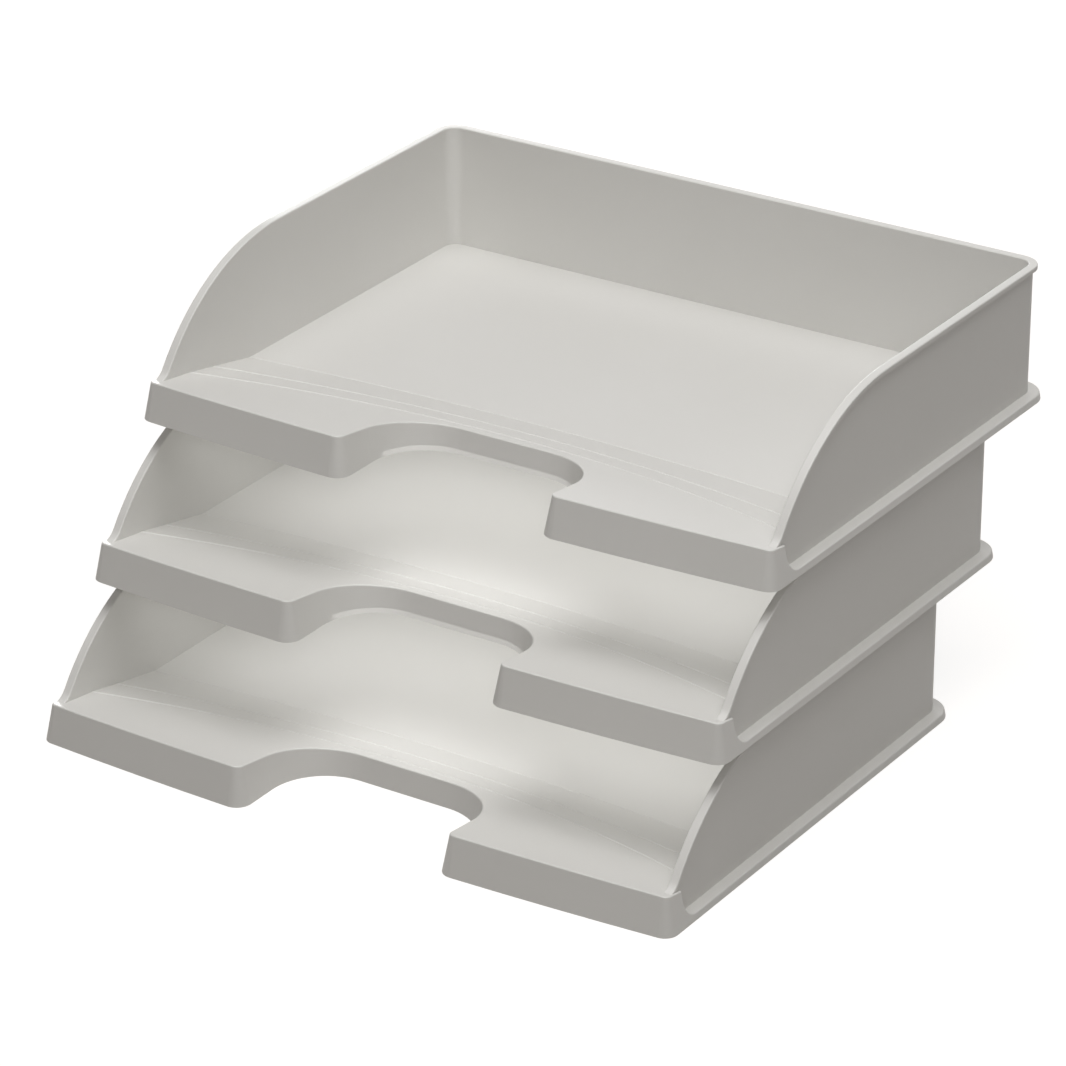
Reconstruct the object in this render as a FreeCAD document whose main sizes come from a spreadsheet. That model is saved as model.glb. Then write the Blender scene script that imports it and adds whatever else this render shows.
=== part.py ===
import FreeCAD, Part
import math
import os

import Sketcher
from FreeCAD import Placement, Rotation, Vector

# A stack of three identical landscape letter trays, each set back from the one below.
# Millimetres. X runs across the trays, +Y to the rear and +Z up. The origin is under the middle of the
# stack, on the surface that it stands on. One tray is modelled about its own centre, then repeated.

DRIVING_SIZES = (
    ("tray_width", "363", "over the base flange"),
    ("tray_depth", "279", "from the foremost points beside the notch to the rear flange"),
    ("tray_height", "72", "from the table to the rim"),
    ("set_back", "44", "how far each tray stands behind the one below"),
    ("wall_thick", "2.4", "side and rear walls"),
    ("rear_corner", "7", "inner radius of the two rear corners"),
    ("rim_reach", "2.2", "rim lip beyond the wall face"),
    ("rim_depth", "2.4", "height of the rim lip"),
    ("rim_round", "0.7", "edge radius of the rim"),
    ("sweep_radius", "116", "large curve of the side walls down to the front"),
    ("sweep_blend", "10", "small hollow curve where that sweep runs out into the lip"),
    ("sweep_setback", "11.5", "from the front to the foot of the sweep"),
    ("sweep_sink", "1.5", "how far the foot of the sweep lies below the lip edge"),
    ("floor_level", "6", "top of the flat floor above the table"),
    ("floor_thick", "2.2", "floor and ramp skin"),
    ("flange_reach", "6.6", "base flange beyond the wall face"),
    ("flange_edge", "3.6", "height of the flange's outer face"),
    ("flange_thick", "1.6", "skin of the flange, above the stacking ledge"),
    ("skirt_thick", "2.2", "skin of the raked skirt"),
    ("skirt_rake", "11", "lean of the skirt and front lip, in degrees"),
    ("front_bow", "6.6", "how far the front bows forward over the tray's width"),
    ("front_corner", "7", "plan radius of the two front corners at the table"),
    ("lip_height", "20.5", "front lip above the table"),
    ("lip_round", "0.8", "edge radius of the front lip and of the flange"),
    ("lip_return", "21", "from the front back to where the lip's side ends"),
    ("return_sweep", "9", "hollow curve from the lip's side down to the flange"),
    ("ramp_foot_setback", "95.5", "where the ramp leaves the floor on the tray's middle, from the front"),
    ("ramp_foot_bow", "9.7", "how far the ramp's foot bows back over the tray's width"),
    ("ramp_crease_setback", "65", "crease in the ramp on the tray's middle, from the front"),
    ("ramp_crease_rise", "6.1", "that crease above the floor"),
    ("notch_width", "112", "finger notch between its sides, at the table"),
    ("notch_depth", "56", "finger notch from the front, at the table"),
    ("notch_mouth", "8", "plan radius where the notch opens to the front"),
    ("notch_corner", "30", "plan radius of the notch's inner corners"),
    ("stop_inset", "24", "from the side walls to the ends of the stacking stops under the floor"),
    ("stop_thick", "1.6", "stacking stops"),
    ("stop_gap", "0.6", "play between a stacking stop and the rim below"),
    ("stop_lift", "0.6", "stacking stops above the table"),
    ("overrun", "10", "how far cutting shapes pass the tray"),
    ("overlap", "1", "how far shapes enter each other where they are joined or trimmed"),
)

DERIVED_SIZES = (
    ("half_width", "=tray_width / 2"),
    ("half_depth", "=tray_depth / 2"),
    ("wall_outer", "=half_width - flange_reach"),
    ("wall_inner", "=wall_outer - wall_thick"),
    ("rear_inner", "=half_depth - flange_reach - wall_thick"),
    ("front_end", "=-half_depth - overrun"),
    ("rear_end", "=half_depth + overrun"),
    ("bow_radius", "=(half_width ^ 2 + front_bow ^ 2) / (2 * front_bow)"),
    ("bow_reach", "=bow_radius - notch_mouth"),
    ("mouth_offset", "=notch_width / 2 + notch_mouth"),
    ("bow_centre", "=sqrt(bow_reach ^ 2 - mouth_offset ^ 2) + notch_mouth - half_depth"),
    ("rake_slope", "=tan(skirt_rake)"),
    ("lip_inset", "=lip_height * rake_slope"),
    ("underside_top", "=lip_height - floor_thick"),
    ("ramp_foot_radius", "=(half_width ^ 2 + ramp_foot_bow ^ 2) / (2 * ramp_foot_bow)"),
    ("ramp_run", "=ramp_foot_setback - ramp_crease_setback"),
    ("ramp_slope", "=ramp_crease_rise / ramp_run"),
    ("lip_rise", "=lip_height - floor_level - ramp_crease_rise"),
    ("lip_slope", "=lip_rise / (ramp_crease_setback - lip_inset)"),
    ("skirt_rear_corner", "=rear_corner + wall_thick + flange_reach"),
    ("stacking_ledge", "=flange_edge - flange_thick"),
    ("stacking_pitch", "=tray_height - stacking_ledge"),
    ("floor_under", "=floor_level - floor_thick"),
    ("rear_rim_below", "=rear_inner - set_back"),
    ("rim_width", "=wall_thick + rim_reach"),
    ("stop_length", "=2 * (wall_inner - stop_inset)"),
)

RIGHT_ANGLE = math.pi / 2
STRAIGHT_ANGLE = math.pi
TOUCHING = 1e-6
ORIGIN = (-1, 1)
ACROSS_AXIS, DEPTH_AXIS = range(-1, -3, -1)
START, END, CENTRE = range(1, 4)
# Sketches of the side view lie in the YZ plane: their own x runs along Y and their own y along Z.
SIDE_VIEW = Placement(Vector(), Rotation(Vector(1, 1, 1), 120))

doc = FreeCAD.newDocument("LetterTrays")
sheet = doc.addObject("Spreadsheet::Sheet", "Sizes")


def fill_sheet():
    """Write the driving sizes, then the sizes worked out from them."""
    row = 0
    for alias, value, meaning in DRIVING_SIZES:
        row += 1
        sheet.set(f"A{row}", meaning)
        sheet.set(f"B{row}", value)
        sheet.setAlias(f"B{row}", alias)
    doc.recompute()
    for alias, formula in DERIVED_SIZES:
        row += 1
        sheet.set(f"A{row}", alias.replace("_", " "))
        sheet.set(f"B{row}", formula)
        sheet.setAlias(f"B{row}", alias)
        doc.recompute()


def value_of(expression):
    """The number that an expression on the sheet gives now."""
    value = sheet.evalExpression(expression)
    return float(getattr(value, "Value", value))


def line(start, end):
    return Part.LineSegment(Vector(*start, 0), Vector(*end, 0))


def arc(centre, radius, first, last):
    """An arc about a centre, anticlockwise from one angle to another."""
    return Part.ArcOfCircle(Part.Circle(Vector(*centre, 0), Vector(0, 0, 1), radius), first, last)


def mirrored(curve):
    """The same curve on the other side of the tray's middle."""
    if isinstance(curve, Part.LineSegment):
        start, end = curve.StartPoint, curve.EndPoint
        return line((-end.x, end.y), (-start.x, start.y))
    middle = curve.Center
    first, last = curve.FirstParameter, curve.LastParameter
    return arc((-middle.x, middle.y), curve.Radius, STRAIGHT_ANGLE - last, STRAIGHT_ANGLE - first)


def end_direction(curve, position):
    """Unit direction of a curve at its start or end."""
    first, last = curve.FirstParameter, curve.LastParameter
    return Vector(*curve.tangent(first if position == START else last)[0]).normalize()


def close_loop(sketch, curves):
    """Draw curves in order as one closed loop, joined smoothly where they run on smoothly."""
    ids = sketch.addGeometry(curves, False)
    for index, curve in enumerate(curves):
        following = (index + 1) % len(curves)
        other = curves[following]
        for here in (START, END):
            for there in (START, END):
                mine = curve.StartPoint if here == START else curve.EndPoint
                theirs = other.StartPoint if there == START else other.EndPoint
                if mine.distanceToPoint(theirs) > TOUCHING:
                    continue
                turn = end_direction(curve, here).cross(end_direction(other, there)).Length
                kind = "Tangent" if turn < TOUCHING else "Coincident"
                sketch.addConstraint(Sketcher.Constraint(kind, ids[index], here, ids[following], there))
    return ids


def new_sketch(name, placement=Placement()):
    """An empty sketch, in plan at the table or in the side view."""
    sketch = doc.addObject("Sketcher::SketchObject", name)
    sketch.Placement = placement
    return sketch


def bind(sketch, kind, references, expression):
    """Add a dimension whose value follows the sheet."""
    index = sketch.addConstraint(Sketcher.Constraint(kind, *references, value_of(expression)))
    sketch.setExpression(f"Constraints[{index}]", expression)


def hold(sketch, kind, *references):
    sketch.addConstraint(Sketcher.Constraint(kind, *references))


def place_x(sketch, point, expression):
    """Fix a point's distance from the sketch's middle, on the side where it lies."""
    value = value_of(expression)
    order = (*ORIGIN, *point) if value > 0 else (*point, *ORIGIN)
    bind(sketch, "DistanceX", order, expression if value > 0 else f"-({expression})")


def place_y(sketch, point, expression):
    value = value_of(expression)
    order = (*ORIGIN, *point) if value > 0 else (*point, *ORIGIN)
    bind(sketch, "DistanceY", order, expression if value > 0 else f"-({expression})")


def wall_plan(name, grow):
    """Plan of the walls: straight sides open past the front and a rear with two rounded corners.

    grow is the sheet's expression for how far this outline lies outside the walls' inner faces.
    """
    half = f"Sizes.wall_inner + {grow}"
    rear = f"Sizes.rear_inner + {grow}"
    radius = f"Sizes.rear_corner + {grow}"
    x, y, r = value_of(half), value_of(rear), value_of(radius)
    front = value_of("Sizes.front_end")
    sketch = new_sketch(name)
    right_side = line((x, front), (x, y - r))
    right_corner = arc((x - r, y - r), r, 0, RIGHT_ANGLE)
    rear_side = line((x - r, y), (r - x, y))
    front_side = line((-x, front), (x, front))
    ids = close_loop(sketch, [right_side, right_corner, rear_side,
                              mirrored(right_corner), mirrored(right_side), front_side])
    right, corner, back, left_corner, left, _ = ids
    for side in (right, left):
        hold(sketch, "Vertical", side)
    hold(sketch, "Horizontal", back)
    hold(sketch, "Symmetric", right, START, left, END, DEPTH_AXIS)
    hold(sketch, "Equal", corner, left_corner)
    bind(sketch, "Radius", (corner,), radius)
    place_x(sketch, (right, START), half)
    place_y(sketch, (back, START), rear)
    place_y(sketch, (right, START), "Sizes.front_end")
    return sketch


def skirt_plan(name, inset):
    """Plan of the raked skirt with its bowed front, rounded corners and finger notch.

    inset is the sheet's expression for how far this outline lies inside the skirt's foot.
    """
    sizes = {
        "side": f"Sizes.half_width - ({inset})",
        "rear": f"Sizes.half_depth - ({inset})",
        "rear_corner": f"Sizes.skirt_rear_corner - ({inset})",
        "bow": f"Sizes.bow_radius - ({inset})",
        "bow_centre": "Sizes.bow_centre",
        "front_corner": f"Sizes.front_corner - ({inset})",
        "mouth": f"Sizes.notch_mouth - ({inset})",
        "notch_side": f"Sizes.notch_width / 2 + ({inset})",
        "notch_rear": f"Sizes.notch_depth - Sizes.half_depth + ({inset})",
        "notch_corner": f"Sizes.notch_corner + ({inset})",
    }
    at = {key: value_of(expression) for key, expression in sizes.items()}

    def touch_bow(x, radius):
        """Centre of a corner arc that runs into the bow, and the angle at which they meet."""
        reach = at["bow"] - radius
        angle = -math.acos(x / reach)
        return (x, at["bow_centre"] + reach * math.sin(angle)), angle

    corner_at, corner_angle = touch_bow(at["side"] - at["front_corner"], at["front_corner"])
    mouth_at, mouth_angle = touch_bow(at["notch_side"] + at["mouth"], at["mouth"])
    notch_at = (at["notch_side"] - at["notch_corner"], at["notch_rear"] - at["notch_corner"])
    rear_at = (at["side"] - at["rear_corner"], at["rear"] - at["rear_corner"])

    right_half = [
        line((at["side"], rear_at[1]), (at["side"], corner_at[1])),
        arc(corner_at, at["front_corner"], corner_angle, 0),
        arc((0, at["bow_centre"]), at["bow"], mouth_angle, corner_angle),
        arc(mouth_at, at["mouth"], STRAIGHT_ANGLE, 2 * STRAIGHT_ANGLE + mouth_angle),
        line((at["notch_side"], mouth_at[1]), (at["notch_side"], notch_at[1])),
        arc(notch_at, at["notch_corner"], 0, RIGHT_ANGLE),
    ]
    rear_arc = arc(rear_at, at["rear_corner"], 0, RIGHT_ANGLE)
    notch_edge = line((notch_at[0], at["notch_rear"]), (-notch_at[0], at["notch_rear"]))
    rear_edge = line((-rear_at[0], at["rear"]), (rear_at[0], at["rear"]))
    left_half = [mirrored(curve) for curve in reversed(right_half)]

    sketch = new_sketch(name)
    ids = close_loop(sketch, [*right_half, notch_edge, *left_half, mirrored(rear_arc), rear_edge, rear_arc])
    (side, corner, bow, mouth, notch_side, notch_corner, notch_rear,
     left_notch_corner, left_notch_side, left_mouth, left_bow, left_corner, left_side,
     left_rear_corner, rear, rear_corner) = ids
    for upright in (side, left_side, notch_side, left_notch_side):
        hold(sketch, "Vertical", upright)
    for level_edge in (rear, notch_rear):
        hold(sketch, "Horizontal", level_edge)
    hold(sketch, "Coincident", bow, CENTRE, left_bow, CENTRE)
    hold(sketch, "PointOnObject", bow, CENTRE, DEPTH_AXIS)
    pairs = {
        "bow": (bow, left_bow),
        "front_corner": (corner, left_corner),
        "mouth": (mouth, left_mouth),
        "notch_corner": (notch_corner, left_notch_corner),
        "rear_corner": (rear_corner, left_rear_corner),
    }
    for key, (one, other) in pairs.items():
        hold(sketch, "Equal", one, other)
        bind(sketch, "Radius", (one,), sizes[key])
    place_x(sketch, (side, START), sizes["side"])
    place_x(sketch, (left_side, START), f"-({sizes['side']})")
    place_x(sketch, (notch_side, START), sizes["notch_side"])
    place_x(sketch, (left_notch_side, START), f"-({sizes['notch_side']})")
    place_y(sketch, (bow, CENTRE), sizes["bow_centre"])
    place_y(sketch, (rear, START), sizes["rear"])
    place_y(sketch, (notch_rear, START), sizes["notch_rear"])
    return sketch


def belt_profile(name, inset, edge):
    """Side view of the belt: low flange, then the hollow sweep up to the front lip.

    inset is how far this outline lies inside the outer one, edge the level of its flange.
    """
    radius = f"Sizes.return_sweep + {inset}"
    return_face = f"Sizes.lip_return - Sizes.half_depth - ({inset})"
    top = "Sizes.lip_height + Sizes.overrun"
    r, y, low, high = value_of(radius), value_of(return_face), value_of(edge), value_of(top)
    front, rear = value_of("Sizes.front_end"), value_of("Sizes.rear_end")
    sketch = new_sketch(name, SIDE_VIEW)
    ids = close_loop(sketch, [
        line((front, 0), (rear, 0)),
        line((rear, 0), (rear, low)),
        line((rear, low), (y + r, low)),
        arc((y + r, low + r), r, STRAIGHT_ANGLE, STRAIGHT_ANGLE + RIGHT_ANGLE),
        line((y, low + r), (y, high)),
        line((y, high), (front, high)),
        line((front, high), (front, 0)),
    ])
    base, back, flange, sweep, lip_end, cover, face = ids
    for level_edge in (base, flange, cover):
        hold(sketch, "Horizontal", level_edge)
    for upright in (back, lip_end, face):
        hold(sketch, "Vertical", upright)
    hold(sketch, "PointOnObject", base, START, ACROSS_AXIS)
    bind(sketch, "Radius", (sweep,), radius)
    place_x(sketch, (lip_end, START), return_face)
    place_x(sketch, (back, START), "Sizes.rear_end")
    place_x(sketch, (face, START), "Sizes.front_end")
    place_y(sketch, (flange, START), edge)
    place_y(sketch, (cover, START), top)
    return sketch


def sweep_profile(name, inset):
    """Side view of a wall: level rim, large sweep down to the front and the hollow run-out at its foot.

    inset is how far this outline lies below the rim's top.
    """
    top = f"Sizes.tray_height - {inset}"
    radius = f"Sizes.sweep_radius - {inset}"
    blend = f"Sizes.sweep_blend + {inset}"
    foot = "Sizes.sweep_setback - Sizes.half_depth"
    foot_level = f"Sizes.lip_height - Sizes.sweep_sink - {inset}"
    z, big, small = value_of(top), value_of(radius), value_of(blend)
    foot_y, foot_z = value_of(foot), value_of(foot_level)
    rear = value_of("Sizes.rear_end")
    drop = math.acos((foot_z + small - z + big) / (big + small))
    centre_y = foot_y + (big + small) * math.sin(drop)
    sketch = new_sketch(name, SIDE_VIEW)
    ids = close_loop(sketch, [
        line((foot_y, 0), (rear, 0)),
        line((rear, 0), (rear, z)),
        line((rear, z), (centre_y, z)),
        arc((centre_y, z - big), big, RIGHT_ANGLE, RIGHT_ANGLE + drop),
        arc((foot_y, foot_z + small), small, -RIGHT_ANGLE, -RIGHT_ANGLE + drop),
        line((foot_y, foot_z), (foot_y, 0)),
    ])
    base, back, rim, sweep, run_out, front = ids
    for level_edge in (base, rim):
        hold(sketch, "Horizontal", level_edge)
    for upright in (back, front):
        hold(sketch, "Vertical", upright)
    hold(sketch, "Vertical", run_out, CENTRE, run_out, START)
    hold(sketch, "PointOnObject", base, START, ACROSS_AXIS)
    bind(sketch, "Radius", (sweep,), radius)
    bind(sketch, "Radius", (run_out,), blend)
    place_x(sketch, (front, START), foot)
    place_x(sketch, (back, START), "Sizes.rear_end")
    place_y(sketch, (front, START), foot_level)
    place_y(sketch, (rim, START), top)
    return sketch


def lip_profile(name, lower):
    """Side view of everything under the front slope of the ramp, which runs straight up to the lip edge.

    lower is how far that slope lies below the tray's visible one.
    """
    crease = "Sizes.ramp_crease_setback - Sizes.half_depth"
    level = f"Sizes.floor_level + Sizes.ramp_crease_rise - {lower}"
    to_front = "(Sizes.ramp_crease_setback + Sizes.overrun)"
    to_rear = "(Sizes.tray_depth - Sizes.ramp_crease_setback + Sizes.overrun)"
    front_level = f"{level} + {to_front} * Sizes.lip_slope"
    rear_level = f"{level} - {to_rear} * Sizes.lip_slope"
    under = f"{rear_level} - Sizes.overrun"
    front, rear = value_of("Sizes.front_end"), value_of("Sizes.rear_end")
    high, low, foot = value_of(front_level), value_of(rear_level), value_of(under)
    sketch = new_sketch(name, SIDE_VIEW)
    ids = close_loop(sketch, [
        line((front, foot), (rear, foot)),
        line((rear, foot), (rear, low)),
        line((rear, low), (front, high)),
        line((front, high), (front, foot)),
    ])
    base, back, slope, face = ids
    hold(sketch, "Horizontal", base)
    for upright in (back, face):
        hold(sketch, "Vertical", upright)
    place_x(sketch, (base, START), "Sizes.front_end")
    place_x(sketch, (base, END), "Sizes.rear_end")
    place_y(sketch, (base, START), under)
    place_y(sketch, (slope, START), rear_level)
    place_y(sketch, (slope, END), front_level)
    return sketch


def raised(name, plan, height):
    """A plan outline raised straight up from the table."""
    body = doc.addObject("Part::Extrusion", name)
    body.Base = plan
    body.DirMode = "Custom"
    body.Dir = Vector(0, 0, 1)
    body.Solid = True
    body.setExpression("LengthFwd", height)
    return body


def upward(face):
    """How far a face looks up: 1 for level, 0 for upright, less than 0 for an underside."""
    first_u, last_u, first_v, last_v = face.ParameterRange
    return face.normalAt((first_u + last_u) / 2, (first_v + last_v) / 2).z


def is_rim_top(face):
    """Whether a face is part of the rim's top: level, or curved with one of the sweep's radii."""
    surface = face.Surface
    if isinstance(surface, Part.Plane):
        return abs(face.BoundBox.ZMin - value_of("Sizes.tray_height")) < TOUCHING and upward(face) > 0
    if not isinstance(surface, Part.Cylinder) or abs(surface.Axis.x) < 1 - TOUCHING:
        return False
    radii = (value_of("Sizes.sweep_radius"), value_of("Sizes.sweep_blend"))
    return any(abs(surface.Radius - radius) < TOUCHING for radius in radii)


def is_upright(face):
    surface = face.Surface
    if isinstance(surface, Part.Plane):
        return abs(surface.Axis.z) < TOUCHING
    return isinstance(surface, Part.Cylinder) and abs(surface.Axis.z) > 1 - TOUCHING


def raked(name, plan, height):
    """A plan outline raised from the table, with every side leaning inwards by the rake of the skirt."""
    body = doc.addObject("PartDesign::Body", name)
    body.addObject(plan)
    block = body.newObject("PartDesign::Pad", f"{name}Block")
    block.Profile = plan
    block.setExpression("Length", height)
    body.Tip = block
    doc.recompute()
    sides = [f"Face{number}" for number, face in enumerate(block.Shape.Faces, start=1) if is_upright(face)]
    foot = [f"Face{number}" for number, face in enumerate(block.Shape.Faces, start=1) if upward(face) < -0.5]
    lean = body.newObject("PartDesign::Draft", f"{name}Rake")
    lean.Base = (block, sides)
    lean.NeutralPlane = (block, foot)
    lean.setExpression("Angle", "Sizes.skirt_rake")
    body.Tip = lean
    doc.recompute()
    return body


def across(name, profile):
    """A side-view outline run across the full width of the tray and a little more."""
    body = doc.addObject("Part::Extrusion", name)
    body.Base = profile
    body.DirMode = "Custom"
    body.Dir = Vector(1, 0, 0)
    body.Solid = True
    body.Symmetric = True
    body.setExpression("LengthFwd", "Sizes.tray_width + 2 * Sizes.overrun")
    return body


def boolean(kind, name, first, second):
    """Cut, Fuse or Common of two shapes."""
    body = doc.addObject(f"Part::{kind}", name)
    body.Base = first
    body.Tool = second
    body.Refine = True
    return body


def joined(name, shapes):
    body = doc.addObject("Part::MultiFuse", name)
    body.Shapes = shapes
    body.Refine = True
    return body


def ramp_form(name, lower):
    """Everything under the floor and its ramp, lowered by an amount of the sheet.

    The ramp leaves the floor as a wide shallow cone and goes on to the lip as a flat slope.
    """
    cone = doc.addObject("Part::Cone", f"{name}Cone")
    cone.setExpression("Height", "Sizes.lip_height + Sizes.overrun")
    cone.setExpression("Radius1", f"Sizes.ramp_foot_radius + (Sizes.floor_level - {lower}) / Sizes.ramp_slope")
    top = f"(Sizes.lip_height + Sizes.overrun - Sizes.floor_level + {lower})"
    cone.setExpression("Radius2", f"Sizes.ramp_foot_radius - {top} / Sizes.ramp_slope")
    cone.setExpression("Placement.Base.y",
                       "Sizes.ramp_foot_setback - Sizes.half_depth - Sizes.ramp_foot_radius")
    slope = across(f"{name}Slope", lip_profile(f"{name}LipProfile", lower))
    ramp = boolean("Common", f"{name}Ramp", slope, cone)
    slab = doc.addObject("Part::Box", f"{name}Slab")
    slab.setExpression("Length", "Sizes.tray_width + 2 * Sizes.overrun")
    slab.setExpression("Width", "Sizes.tray_depth + 2 * Sizes.overrun")
    slab.setExpression("Height", f"Sizes.floor_level - {lower}")
    slab.setExpression("Placement.Base.x", "-Sizes.half_width - Sizes.overrun")
    slab.setExpression("Placement.Base.y", "Sizes.front_end")
    return joined(f"{name}Form", [slab, ramp])


def base_form(name, skirt, belt, floor, ramp):
    """Skirt, flange, floor block and front lip as one form, topped by the floor and its ramp."""
    inside = joined(f"{name}Fill", [belt, floor])
    trimmed = boolean("Common", f"{name}Trimmed", skirt, inside)
    return boolean("Common", name, trimmed, ramp)


def is_skirt(face):
    """Whether a face is part of the skirt's raked outside."""
    lean = math.sin(math.radians(value_of("Sizes.skirt_rake")))
    return abs(upward(face) - lean) < 1e-3


def on_rim(edge, beside):
    """Edges along both sides of the rim's top."""
    return any(is_rim_top(one) and is_upright(other) for one, other in (beside, beside[::-1]))


def on_skirt_top(edge, beside):
    """Edges along the top of the skirt: front lip, notch, side returns and flange."""
    if is_skirt(beside[0]) != is_skirt(beside[1]):
        return edge.BoundBox.ZMax > TOUCHING
    return_face = value_of("Sizes.lip_return - Sizes.half_depth")
    box = edge.BoundBox
    lies_on_return = abs(box.YMin - return_face) < TOUCHING and abs(box.YMax - return_face) < TOUCHING
    return lies_on_return and max(upward(face) for face in beside) > 0.9


def rounded(body, base, name, radius, wanted):
    """Round every edge of the base feature for which wanted(edge, its two faces) holds."""
    shape = base.Shape
    names = []
    for number, edge in enumerate(shape.Edges, start=1):
        beside = shape.ancestorsOfType(edge, Part.Face)
        if len(beside) == 2 and wanted(edge, beside):
            names.append(f"Edge{number}")
    feature = body.newObject("PartDesign::Fillet", name)
    feature.Base = (base, names)
    feature.setExpression("Radius", radius)
    body.Tip = feature
    doc.recompute()
    return feature


def stacking_stop(name, front):
    """A straight bar under the floor that keeps the rim below from sliding past."""
    bar = doc.addObject("Part::Box", name)
    bar.setExpression("Length", "Sizes.stop_length")
    bar.setExpression("Width", "Sizes.stop_thick")
    bar.setExpression("Height", "Sizes.floor_under - Sizes.stop_lift + Sizes.overlap")
    bar.setExpression("Placement.Base.x", "-Sizes.stop_length / 2")
    bar.setExpression("Placement.Base.y", front)
    bar.setExpression("Placement.Base.z", "Sizes.stop_lift")
    return bar


def build_shell():
    """One tray skin about its own centre: walls, rim, floor, front lip and hollow underside."""
    inner_plan = wall_plan("WallInnerPlan", "0")
    outer_plan = wall_plan("WallOuterPlan", "Sizes.wall_thick")
    rim_plan = wall_plan("RimPlan", "Sizes.rim_width")

    skirt = raked("Skirt", skirt_plan("SkirtFoot", "0"), "Sizes.lip_height + Sizes.overlap")
    belt = across("Belt", belt_profile("BeltProfile", "0", "Sizes.flange_edge"))
    floor_block = raised("FloorBlock", outer_plan, "Sizes.lip_height + Sizes.overrun")
    base = base_form("Base", skirt, belt, floor_block, ramp_form("Floor", "0"))

    wall_block = raised("WallBlock", outer_plan, "Sizes.tray_height + Sizes.overrun")
    rim_block = raised("RimBlock", rim_plan, "Sizes.tray_height + Sizes.overrun")
    inside = raised("WallInside", inner_plan, "Sizes.tray_height + 2 * Sizes.overrun")
    under_sweep = across("UnderSweep", sweep_profile("SweepProfile", "0"))
    under_rim = across("UnderRim", sweep_profile("UnderRimProfile", "Sizes.rim_depth"))
    rim_band = boolean("Cut", "RimBand", under_sweep, under_rim)
    walls = boolean("Cut", "Walls", boolean("Common", "WallSweep", wall_block, under_sweep), inside)
    rim = boolean("Cut", "Rim", boolean("Common", "RimSweep", rim_block, rim_band), inside)
    solid_tray = joined("SolidTray", [base, walls, rim])

    hollow = raked("Hollow", skirt_plan("HollowFoot", "Sizes.skirt_thick"), "Sizes.underside_top")
    ledge = across("Ledge", belt_profile("LedgeProfile", "Sizes.flange_thick", "Sizes.stacking_ledge"))
    floor_hollow = raised("FloorHollow", wall_plan("FloorHollowPlan", "-Sizes.wall_thick"),
                          "Sizes.lip_height + Sizes.overrun")
    underside = base_form("Underside", hollow, ledge, floor_hollow, ramp_form("Under", "Sizes.floor_thick"))
    return boolean("Cut", "Shell", solid_tray, underside)


def build_moulding():
    """The tray skin with its stacking stops and softened edges."""
    front_stop = stacking_stop("FrontStop", "Sizes.rear_rim_below - Sizes.stop_gap - Sizes.stop_thick")
    rear_stop = stacking_stop("RearStop", "Sizes.rear_rim_below + Sizes.rim_width + Sizes.stop_gap")
    sharp = joined("SharpTray", [build_shell(), front_stop, rear_stop])
    doc.recompute()
    body = doc.addObject("PartDesign::Body", "Moulding")
    start = body.newObject("PartDesign::FeatureBase", "SharpMoulding")
    start.BaseFeature = sharp
    body.Tip = start
    doc.recompute()
    rim = rounded(body, start, "RimRounding", "Sizes.rim_round", on_rim)
    rounded(body, rim, "SkirtRounding", "Sizes.lip_round", on_skirt_top)
    return body


def place_tray(label, moulding, steps):
    """One tray of the stack, a number of steps above and behind the middle of the stack's depth."""
    body = doc.addObject("PartDesign::Body", label)
    body.Label = label
    copy = body.newObject("PartDesign::FeatureBase", f"{label}_copy")
    copy.BaseFeature = moulding
    body.Tip = copy
    body.setExpression("Placement.Base.y", f"Sizes.set_back * {steps - 1}")
    body.setExpression("Placement.Base.z", f"Sizes.stacking_pitch * {steps}")
    return body


def check_and_write(nodes):
    """Stop on any object that failed, then write one file for each tray."""
    for item in doc.Objects:
        if "Invalid" in item.State or "Error" in item.State:
            raise RuntimeError(f"{item.Name} failed to build")
    os.makedirs("parts", exist_ok=True)
    for node in nodes:
        shape = node.Shape
        if shape.isNull() or not shape.isValid() or len(shape.Solids) != 1:
            raise RuntimeError(f"{node.Label} is not one sound solid")
        shape.exportStep(f"parts/{node.Label}.step")


def main():
    fill_sheet()
    moulding = build_moulding()
    labels = ("bottom_tray", "middle_tray", "top_tray")
    nodes = [place_tray(label, moulding, steps) for steps, label in enumerate(labels)]
    doc.recompute()
    check_and_write(nodes)


main()
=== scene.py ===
"""Studio scene of three letter trays that stand on each other, each set back from the one below.

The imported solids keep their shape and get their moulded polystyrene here. The raised lines that cross
the ramp of each floor are modelled here and ride on the trays. X runs across the trays, +Y to the rear
and +Z up. Names that end in _mm hold millimetres; everything handed to Blender is in metres.
"""
import logging
import math
from dataclasses import dataclass, field
from enum import Enum
from typing import Any

import bmesh
import bpy
from mathutils import Euler, Matrix, Vector


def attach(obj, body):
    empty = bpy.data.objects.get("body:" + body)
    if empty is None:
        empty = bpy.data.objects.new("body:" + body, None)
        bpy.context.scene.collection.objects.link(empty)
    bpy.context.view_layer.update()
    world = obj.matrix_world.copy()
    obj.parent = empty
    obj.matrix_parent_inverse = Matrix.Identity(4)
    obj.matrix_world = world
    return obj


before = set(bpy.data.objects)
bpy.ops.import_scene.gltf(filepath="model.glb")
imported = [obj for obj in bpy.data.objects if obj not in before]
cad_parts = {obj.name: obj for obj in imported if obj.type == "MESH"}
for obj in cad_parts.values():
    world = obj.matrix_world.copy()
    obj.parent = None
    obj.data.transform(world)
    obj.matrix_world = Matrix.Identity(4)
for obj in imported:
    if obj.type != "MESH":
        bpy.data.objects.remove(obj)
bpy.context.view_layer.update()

log = logging.getLogger("letter_trays")

Colour = tuple[float, float, float, float]

# Places of the colour sockets on a Mix node.
MIX_FIRST, MIX_SECOND, MIX_RESULT = 6, 7, 2

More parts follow.
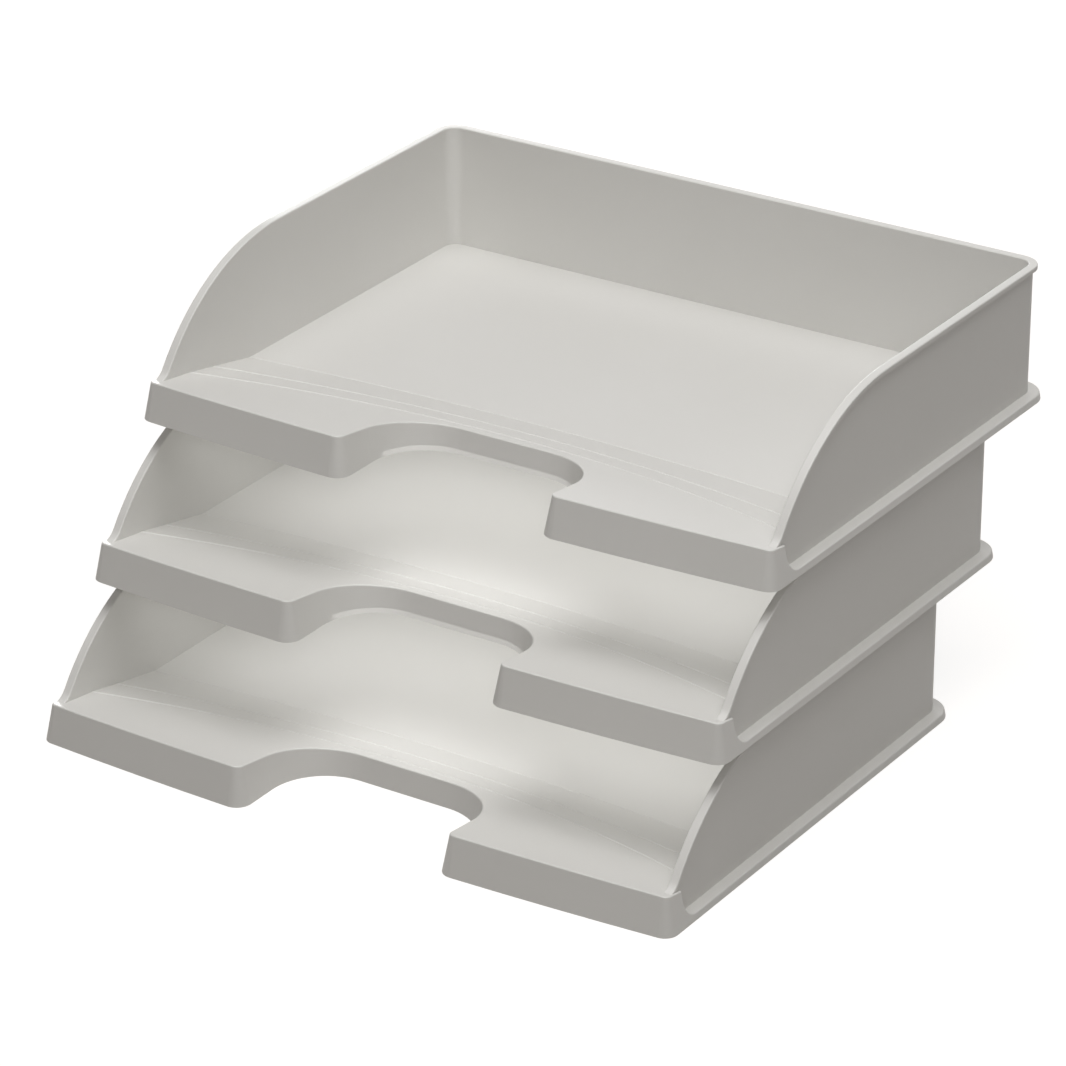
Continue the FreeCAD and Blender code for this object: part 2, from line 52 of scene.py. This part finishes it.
# Corners of a mesh that lie closer than this, in metres, are one corner.
SAME_CORNER = 1e-6


class Tray(Enum):
    """The three trays, by the name of their solid and of the body that carries it."""

    BOTTOM = "bottom_tray"
    MIDDLE = "middle_tray"
    TOP = "top_tray"


def metres(length_mm: float) -> float:
    """Turn millimetres into metres."""
    return length_mm / 1000.0


def per_metre(size_mm: float) -> float:
    """Scale of a pattern whose features are this many millimetres apart."""
    return 1000.0 / size_mm


def linear(hex_code: str) -> Colour:
    """Turn an sRGB hex colour into the linear values that shaders use.

    Args:
        hex_code: Colour written as "#RRGGBB".

    Returns:
        Red, green, blue and a full alpha.
    """
    parts = [int(hex_code[place:place + 2], 16) / 255.0 for place in (1, 3, 5)]
    red, green, blue = [
        part / 12.92 if part <= 0.04045 else ((part + 0.055) / 1.055) ** 2.4 for part in parts
    ]
    return red, green, blue, 1.0


def add_node(
    tree: bpy.types.NodeTree, kind: str, inputs: dict[str | int, Any] | None = None, **settings: Any
) -> bpy.types.Node:
    """Add a node to a tree with its settings, its plain input values and its links.

    Args:
        tree: Node tree that takes the node.
        kind: Blender's name for the type of node.
        inputs: Value or output socket for each named or numbered input.
        **settings: Attributes of the node itself.

    Returns:
        The new node.
    """
    node = tree.nodes.new(kind)
    for name, value in settings.items():
        setattr(node, name, value)
    for socket, value in (inputs or {}).items():
        if isinstance(value, bpy.types.NodeSocket):
            tree.links.new(value, node.inputs[socket])
        else:
            node.inputs[socket].default_value = value
    return node


def empty_tree(owner: bpy.types.Material | bpy.types.World) -> bpy.types.NodeTree:
    """Give a material or world a node tree with nothing in it.

    Args:
        owner: Material or world to clear.

    Returns:
        Its node tree.
    """
    owner.use_nodes = True
    owner.node_tree.nodes.clear()
    return owner.node_tree


def seen_directly(tree: bpy.types.NodeTree) -> bpy.types.NodeSocket:
    """Tell rays that come from the camera, a reflection or a clear body from those that carry light.

    Args:
        tree: Node tree that takes the test.

    Returns:
        Output that is 1 where the surface is seen and 0 where it only lights others.
    """
    path = add_node(tree, "ShaderNodeLightPath")
    mirrored = add_node(tree, "ShaderNodeMath", {
        0: path.outputs["Is Camera Ray"], 1: path.outputs["Is Glossy Ray"],
    }, operation="MAXIMUM")
    seen = add_node(tree, "ShaderNodeMath", {
        0: mirrored.outputs[0], 1: path.outputs["Is Transmission Ray"],
    }, operation="MAXIMUM")
    return seen.outputs[0]


def add_mesh_object(
    name: str, mesh: bmesh.types.BMesh, material: bpy.types.Material
) -> bpy.types.Object:
    """Turn a finished bmesh into an object at the origin.

    Args:
        name: Name of the piece.
        mesh: Shape in metres, freed here.
        material: Finish of the whole piece.

    Returns:
        The new object, in the scene.
    """
    data = bpy.data.meshes.new(name)
    mesh.to_mesh(data)
    mesh.free()
    data.materials.append(material)
    piece = bpy.data.objects.new(name, data)
    bpy.context.scene.collection.objects.link(piece)
    return piece


@dataclass(frozen=True)
class MouldedPolystyrene:
    """Light grey high-impact polystyrene, injection moulded against a fine spark-eroded tool.

    To the eye it is an even, slightly warm grey with a satin sheen: soft wide highlights on the rounded
    edges, a fine matt grain close up, and very faint clouds where the melt flowed.
    """

    name: str = "moulded_grey_polystyrene"
    body: str = "#DCDBD8"
    cloud: str = "#D7D6D2"
    refraction: float = 1.59
    roughness_low: float = 0.38
    roughness_high: float = 0.52
    cloud_mm: float = 85.0
    cloud_detail: float = 3.0
    cloud_roughness: float = 0.5
    # The real grain is about 0.1 mm, too fine to show from here, so it is drawn six times as
    # coarse.
    grain_mm: float = 0.6
    grain_detail: float = 2.0
    grain_roughness: float = 0.6
    grain_height_mm: float = 0.02
    grain_strength: float = 0.35
    # Levels of the grain's noise between which the sheen goes from its glossiest to its most matt.
    grain_low: float = 0.3
    grain_high: float = 0.7

    def material(self) -> bpy.types.Material:
        """Build the finish.

        Returns:
            Its material.
        """
        material = bpy.data.materials.new(self.name)
        tree = empty_tree(material)
        place = add_node(tree, "ShaderNodeTexCoord").outputs["Object"]
        flow = add_node(tree, "ShaderNodeTexNoise", {
            "Vector": place, "Scale": per_metre(self.cloud_mm),
            "Detail": self.cloud_detail, "Roughness": self.cloud_roughness,
        })
        grain = add_node(tree, "ShaderNodeTexNoise", {
            "Vector": place, "Scale": per_metre(self.grain_mm),
            "Detail": self.grain_detail, "Roughness": self.grain_roughness,
        })
        colour = add_node(tree, "ShaderNodeMix", {
            0: flow.outputs["Fac"], MIX_FIRST: linear(self.body), MIX_SECOND: linear(self.cloud),
        }, data_type="RGBA")
        sheen = add_node(tree, "ShaderNodeMapRange", {
            "Value": grain.outputs["Fac"], "From Min": self.grain_low, "From Max": self.grain_high,
            "To Min": self.roughness_low, "To Max": self.roughness_high,
        })
        bump = add_node(tree, "ShaderNodeBump", {
            "Height": grain.outputs["Fac"], "Strength": self.grain_strength,
            "Distance": metres(self.grain_height_mm),
        })
        shader = add_node(tree, "ShaderNodeBsdfPrincipled", {
            "Base Color": colour.outputs[MIX_RESULT], "Roughness": sheen.outputs["Result"],
            "Normal": bump.outputs["Normal"], "IOR": self.refraction,
        })
        add_node(tree, "ShaderNodeOutputMaterial", {"Surface": shader.outputs["BSDF"]})
        return material


@dataclass(frozen=True)
class PaperSweep:
    """Matt white background paper, pure white to the camera and still shaded round the trays.

    Its glow is weaker near the trays, where the lamps light it too, so that their shadow shows.
    """

    name: str = "matt_white_background_paper"
    paper: str = "#8E8A85"
    glow: float = 0.85
    glow_far: float = 1.0
    # Distances from the middle of the stack, in metres, between which the glow rises.
    near: float = 0.6
    far: float = 1.3

    def material(self) -> bpy.types.Material:
        """Build the finish.

        Returns:
            Its material.
        """
        material = bpy.data.materials.new(self.name)
        tree = empty_tree(material)
        place = add_node(tree, "ShaderNodeTexCoord").outputs["Object"]
        reach = add_node(tree, "ShaderNodeVectorMath", {0: place}, operation="LENGTH")
        level = add_node(tree, "ShaderNodeMapRange", {
            "Value": reach.outputs["Value"], "From Min": self.near, "From Max": self.far,
            "To Min": self.glow, "To Max": self.glow_far,
        })
        lift = add_node(tree, "ShaderNodeMath", {
            0: seen_directly(tree), 1: level.outputs["Result"],
        }, operation="MULTIPLY")
        white = add_node(tree, "ShaderNodeEmission", {"Strength": lift.outputs[0]})
        paper = add_node(tree, "ShaderNodeBsdfDiffuse", {"Color": linear(self.paper)})
        both = add_node(tree, "ShaderNodeAddShader", {0: white.outputs[0], 1: paper.outputs[0]})
        add_node(tree, "ShaderNodeOutputMaterial", {"Surface": both.outputs[0]})
        return material


@dataclass(frozen=True)
class Ramp:
    """The ramp at the front of a tray's floor: a wide cone, then a flat slope up to the lip.

    Setbacks count from the tray's front edge, and heights from its foot.
    """

    half_depth_mm: float = 139.5
    half_width_mm: float = 172.5
    floor_mm: float = 6.0
    foot_setback_mm: float = 95.5
    foot_radius_mm: float = 1702.9
    crease_setback_mm: float = 65.0
    crease_radius_mm: float = 530.7
    crease_rise_mm: float = 6.1
    lip_mm: float = 20.5
    lip_setback_mm: float = 3.985

    def height_mm(self, x_mm: float, y_mm: float) -> float:
        """Level of the floor or ramp above the tray's foot.

        Args:
            x_mm: Place across the tray.
            y_mm: Place along its depth.

        Returns:
            Height in millimetres.
        """
        foot_y = self.foot_setback_mm - self.half_depth_mm
        crease_y = self.crease_setback_mm - self.half_depth_mm
        cone_fall = self.crease_rise_mm / (self.foot_setback_mm - self.crease_setback_mm)
        crease = self.floor_mm + self.crease_rise_mm
        slope_fall = (self.lip_mm - crease) / (self.crease_setback_mm - self.lip_setback_mm)
        reach = math.hypot(x_mm, y_mm - (foot_y - self.foot_radius_mm))
        cone = self.floor_mm + cone_fall * (self.foot_radius_mm - reach)
        slope = crease + slope_fall * (crease_y - y_mm)
        return max(self.floor_mm, min(cone, slope))


@dataclass(frozen=True)
class RampLine:
    """A fine raised line across the ramp, curved in plan and moulded with the floor."""

    setback_mm: float
    radius_mm: float
    width_mm: float = 1.4
    proud_mm: float = 0.34
    sunk_mm: float = 0.3
    # Front and rear end of the flat crest, as shares of the half width.
    crest_front: float = 0.3
    crest_rear: float = 0.4
    end_gap_mm: float = 0.1
    steps: int = 72

    def add_to(self, mesh: bmesh.types.BMesh, ramp: Ramp) -> None:
        """Add this line to a tray's lines, in the tray's own millimetres.

        Args:
            mesh: Shape that takes the line.
            ramp: Surface that the line follows.
        """
        half = self.width_mm / 2.0
        crest_y = self.setback_mm - ramp.half_depth_mm
        centre = Vector((0.0, crest_y - self.radius_mm, 0.0))
        half_turn = math.asin((ramp.half_width_mm - self.end_gap_mm) / self.radius_mm)
        outline = [
            (-half, -self.sunk_mm), (-half, 0.0), (-self.crest_front * half, self.proud_mm),
            (self.crest_rear * half, self.proud_mm), (half, 0.0), (half, -self.sunk_mm),
        ]
        turn = Matrix.Rotation(half_turn, 4, "Z")
        start = Matrix.Translation(centre) @ turn @ Matrix.Translation(-centre)
        corners = [mesh.verts.new(start @ Vector((0.0, crest_y + y, z))) for y, z in outline]
        end_face = mesh.faces.new(corners)
        bmesh.ops.spin(
            mesh, geom=[end_face], cent=centre, axis=(0.0, 0.0, 1.0), angle=-2.0 * half_turn,
            steps=self.steps, use_duplicate=False,
        )


@dataclass
class LetterTray:
    """One tray of the stack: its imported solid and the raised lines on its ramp."""

    tray: Tray
    step: int
    finish: bpy.types.Material
    ramp: Ramp = field(default_factory=Ramp)
    set_back_mm: float = 44.0
    pitch_mm: float = 70.0
    lines: tuple[RampLine, ...] = (
        RampLine(setback_mm=Ramp.foot_setback_mm, radius_mm=Ramp.foot_radius_mm),
        RampLine(setback_mm=77.0, radius_mm=712.0),
        RampLine(setback_mm=Ramp.crease_setback_mm, radius_mm=Ramp.crease_radius_mm),
    )

    def dress(self) -> None:
        """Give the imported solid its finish."""
        solid = bpy.data.objects[self.tray.value]
        for slot in solid.material_slots:
            slot.material = self.finish
        log.info("%s dressed", self.tray.value)

    def build_lines(self) -> bpy.types.Object:
        """Model the raised lines across the ramp.

        Returns:
            The lines as one piece that rides on the tray.
        """
        mesh = bmesh.new()
        for line in self.lines:
            line.add_to(mesh, self.ramp)
        for corner in mesh.verts:
            corner.co.z += self.ramp.height_mm(corner.co.x, corner.co.y)
        # The middle tray, one step up, stands over the origin.
        place = Vector((0.0, self.set_back_mm * (self.step - 1), self.pitch_mm * self.step))
        bmesh.ops.translate(mesh, vec=place, verts=mesh.verts)
        bmesh.ops.scale(mesh, vec=Vector.Fill(3, metres(1.0)), verts=mesh.verts)
        bmesh.ops.remove_doubles(mesh, verts=mesh.verts, dist=SAME_CORNER)
        bmesh.ops.recalc_face_normals(mesh, faces=mesh.faces)
        piece = add_mesh_object(f"{self.tray.value}_ramp_lines", mesh, self.finish)
        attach(piece, self.tray.value)
        log.info("%s built", piece.name)
        return piece


@dataclass(frozen=True)
class Softbox:
    """A square lamp with a wide diffuser, aimed at the middle of the stack."""

    name: str
    place: tuple[float, float, float]
    side: float
    power: float
    aim: tuple[float, float, float] = (0.0, 0.0, 0.1)

    def build(self) -> bpy.types.Object:
        """Hang the lamp.

        Returns:
            The lamp's object.
        """
        lamp = bpy.data.lights.new(self.name, "AREA")
        lamp.shape = "SQUARE"
        lamp.size = self.side
        lamp.energy = self.power
        box = bpy.data.objects.new(self.name, lamp)
        box.location = self.place
        beam = Vector(self.aim) - Vector(self.place)
        box.rotation_euler = beam.to_track_quat("-Z", "Y").to_euler()
        bpy.context.scene.collection.objects.link(box)
        log.info("%s hung", self.name)
        return box


@dataclass(frozen=True)
class TrayLamp:
    """A flat lamp under a tray, which lights the tray below as if that one stood in the studio alone.

    It lies close under the floor, from the notch to the rear, shines down and moves with its tray.
    """

    carrier: Tray
    place: tuple[float, float, float]
    width: float = 0.334
    depth: float = 0.176
    power: float = 0.12
    spread_deg: float = 135.0

    def build(self) -> bpy.types.Object:
        """Hang the lamp under its tray.

        Returns:
            The lamp's object.
        """
        name = f"{self.carrier.value}_lamp"
        lamp = bpy.data.lights.new(name, "AREA")
        lamp.shape = "RECTANGLE"
        lamp.size = self.width
        lamp.size_y = self.depth
        lamp.energy = self.power
        lamp.spread = math.radians(self.spread_deg)
        panel = bpy.data.objects.new(name, lamp)
        panel.location = self.place
        bpy.context.scene.collection.objects.link(panel)
        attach(panel, self.carrier.value)
        log.info("%s hung", name)
        return panel


@dataclass(frozen=True)
class Studio:
    """White paper, three softboxes, a lamp for each of the lower trays, pale walls and the camera."""

    paper: PaperSweep = PaperSweep()
    paper_side: float = 4.2
    walls: float = 0.1
    wall_paint: str = "#FFF3E8"
    backdrop: str = "#FFFFFF"
    lamps: tuple[Softbox, ...] = (
        Softbox("overhead_softbox", place=(0.25, -0.2, 2.1), side=1.8, power=34.0),
        Softbox("front_softbox", place=(1.456, -2.242, 1.462), side=0.4, power=14.0),
        Softbox("rear_softbox", place=(-1.5, 1.8, 0.4), side=0.5, power=17.0),
    )
    tray_lamps: tuple[TrayLamp, ...] = (
        TrayLamp(Tray.MIDDLE, place=(0.0, -0.018, 0.0725)),
        TrayLamp(Tray.TOP, place=(0.0, 0.026, 0.1425)),
    )
    camera_place: tuple[float, float, float] = (1.206, -1.8755, 1.147)
    camera_turn_deg: float = 32.92
    camera_dip_deg: float = 25.39
    focal_px: float = 5000.0
    image_px: float = 1066.0
    sensor_mm: float = 36.0
    sight_reach: float = 30.0

    def lay_paper(self) -> bpy.types.Object:
        """Lay the background paper under the trays.

        Returns:
            The paper.
        """
        mesh = bmesh.new()
        bmesh.ops.create_grid(mesh, x_segments=1, y_segments=1, size=self.paper_side / 2.0)
        sheet = add_mesh_object("background_paper", mesh, self.paper.material())
        log.info("%s laid", sheet.name)
        return sheet

    def paint_walls(self) -> bpy.types.World:
        """Surround the set with pale light that the camera sees as white.

        Returns:
            The scene's world.
        """
        world = bpy.data.worlds.new("pale_studio_walls")
        tree = empty_tree(world)
        seen = seen_directly(tree)
        level = add_node(tree, "ShaderNodeMapRange", {
            "Value": seen, "To Min": self.walls, "To Max": 1.0,
        })
        paint = add_node(tree, "ShaderNodeMix", {
            0: seen, MIX_FIRST: linear(self.wall_paint), MIX_SECOND: linear(self.backdrop),
        }, data_type="RGBA")
        light = add_node(tree, "ShaderNodeBackground", {
            "Color": paint.outputs[MIX_RESULT], "Strength": level.outputs["Result"],
        })
        add_node(tree, "ShaderNodeOutputWorld", {"Surface": light.outputs[0]})
        bpy.context.scene.world = world
        return world

    def set_camera(self) -> bpy.types.Object:
        """Place the camera above the right-hand front corner, as in the photograph.

        Returns:
            The scene's camera.
        """
        lens = bpy.data.cameras.new("photo_camera")
        lens.sensor_fit = "HORIZONTAL"
        lens.sensor_width = self.sensor_mm
        lens.lens = self.focal_px / self.image_px * self.sensor_mm
        lens.clip_end = self.sight_reach
        camera = bpy.data.objects.new("photo_camera", lens)
        camera.location = self.camera_place
        tilt = math.radians(90.0 - self.camera_dip_deg)
        camera.rotation_euler = Euler((tilt, 0.0, math.radians(self.camera_turn_deg)))
        bpy.context.scene.collection.objects.link(camera)
        bpy.context.scene.camera = camera
        return camera

    def build(self) -> None:
        """Set up paper, walls, lamps and camera."""
        self.lay_paper()
        self.paint_walls()
        for lamp in self.lamps + self.tray_lamps:
            lamp.build()
        self.set_camera()
        bpy.context.scene.view_settings.view_transform = "Standard"


def main() -> None:
    """Dress the trays, build their raised lines and set up the studio."""
    logging.basicConfig(level=logging.INFO, format="%(name)s: %(message)s")
    finish = MouldedPolystyrene().material()
    for step, tray in enumerate(Tray):
        letter_tray = LetterTray(tray, step, finish)
        letter_tray.dress()
        letter_tray.build_lines()
    Studio().build()


if __name__ == "__main__":
    main()
